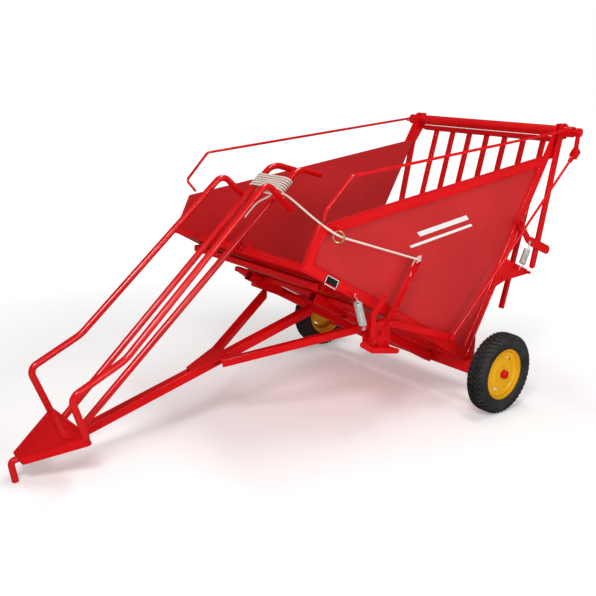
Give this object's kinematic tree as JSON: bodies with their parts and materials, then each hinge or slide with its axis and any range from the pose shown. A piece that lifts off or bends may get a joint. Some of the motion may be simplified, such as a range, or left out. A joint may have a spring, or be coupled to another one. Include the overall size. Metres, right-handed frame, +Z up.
{
  "type": "trailed bale collecting cart",
  "caption": "Two-wheeled towed bale collecting cart: a deep open bucket behind bent tubular bale guides, with a rope-tripped swinging rear gate of upright bars.",
  "frame": {"origin": "on the ground, below the middle of the machine's box in X and midway between the wheels in Y", "axes": "+X forward to the hitch, +Y to the machine's left side, +Z up"},
  "size_m": [4.5919, 2.288, 2.2709],
  "materials": {
    "red_paint": "gloss red enamel on steel",
    "yellow_paint": "gloss yellow enamel on steel",
    "tyre_rubber": "matt black rubber",
    "spring_steel": "bright zinc-plated wire",
    "ring_brass": "worn bare brass",
    "rope_fibre": "laid off-white fibre",
    "plate_black": "black enamel, blank"
  },
  "bodies": {
    "frame": {"axle_beam": "red_paint", "axle_gussets": "red_paint", "bucket_cross_rails": "red_paint", "chassis_noses": "red_paint", "chassis_rail_left": "red_paint", "chassis_rail_right": "red_paint", "coupling_plate": "red_paint", "data_plate": "plate_black", "drawbar_beam": "red_paint", "drawbar_gusset": "red_paint", "drawbar_leg_left": "red_paint", "drawbar_leg_middle": "red_paint", "drawbar_leg_right": "red_paint", "floor_sheet": "red_paint", "floor_tail": "red_paint", "front_cross_rail": "red_paint", "front_end_plate": "red_paint", "front_lip": "red_paint", "front_pivot_pins": "red_paint", "front_webs": "red_paint", "guard_rail_left": "red_paint", "guard_rail_right": "red_paint", "guide_inner_left": "red_paint", "guide_inner_right": "red_paint", "guide_outer_left": "red_paint", "guide_outer_right": "red_paint", "hitch_pin": "red_paint", "hitch_plate": "red_paint", "latch_bracket": "red_paint", "latch_pivot_pin": "red_paint", "latch_spring": "spring_steel", "plate_bolts": "red_paint", "ring_staple": "red_paint", "rope_hank": "rope_fibre", "rope_ring": "ring_brass", "side_panel_left": "red_paint", "side_panel_right": "red_paint", "spring_posts": "red_paint", "stub_axles": "red_paint", "trip_rope": "rope_fibre", "trip_spring": "spring_steel"},
    "wheel_left": {"tyre_left": "tyre_rubber", "rim_left": "yellow_paint", "hub_left": "red_paint"},
    "wheel_right": {"tyre_right": "tyre_rubber", "rim_right": "yellow_paint", "hub_right": "red_paint"},
    "gate": {"gate_tube": "red_paint", "gate_top_rail": "red_paint", "gate_tines": "red_paint", "gate_side_bar_left": "red_paint", "gate_side_bar_right": "red_paint", "gate_crank": "red_paint"},
    "trip_crank": {"trip_crank": "red_paint", "trip_lever": "red_paint", "rod_foot_pin": "red_paint"},
    "push_rod": {"push_rod": "red_paint", "rod_fork": "red_paint"},
    "latch_lever": {"latch_lever": "red_paint"},
    "lock_lever": {"lock_lever": "red_paint"}
  },
  "joints": [
    {"name": "wheel_left_spin", "type": "hinge", "parent": "frame", "child": "wheel_left", "pos_m": [-1.308, 1.066, 0.33], "axis": [0, 1, 0], "continuous": true},
    {"name": "wheel_right_spin", "type": "hinge", "parent": "frame", "child": "wheel_right", "pos_m": [-1.308, -1.066, 0.33], "axis": [0, 1, 0], "continuous": true},
    {"name": "gate_swing", "type": "hinge", "parent": "frame", "child": "gate", "pos_m": [-2.23, 0, 2.205], "axis": [0, 1, 0], "range_deg": [0, 45], "stiffness_Nm_per_rad": 60, "springref_deg": -126.05},
    {"name": "trip_crank_turn", "type": "hinge", "parent": "frame", "child": "trip_crank", "pos_m": [-0.238, 0.811, 0.865], "axis": [0, 1, 0], "range_deg": [0, 9], "deforming": ["trip_spring"]},
    {"name": "push_rod_turn", "type": "hinge", "parent": "trip_crank", "child": "push_rod", "pos_m": [-0.963, 0.838, 0.625], "axis": [0, 1, 0], "range_deg": [-12.8, 0]},
    {"name": "latch_lever_turn", "type": "hinge", "parent": "frame", "child": "latch_lever", "pos_m": [-1.738, 0.826, 1.465], "axis": [0, 1, 0], "range_deg": [0, 20], "stiffness_Nm_per_rad": 8, "springref_deg": -28.65, "deforming": ["latch_spring"]},
    {"name": "lock_lever_turn", "type": "hinge", "parent": "frame", "child": "lock_lever", "pos_m": [-0.073, 0.836, 0.765], "axis": [0, 1, 0], "range_deg": [0, 12]}
  ],
  "couplings": [
    {"joint": "trip_crank_turn", "follows": "gate_swing", "ratio": 0.2},
    {"joint": "push_rod_turn", "follows": "gate_swing", "ratio": -0.283}
  ]
}
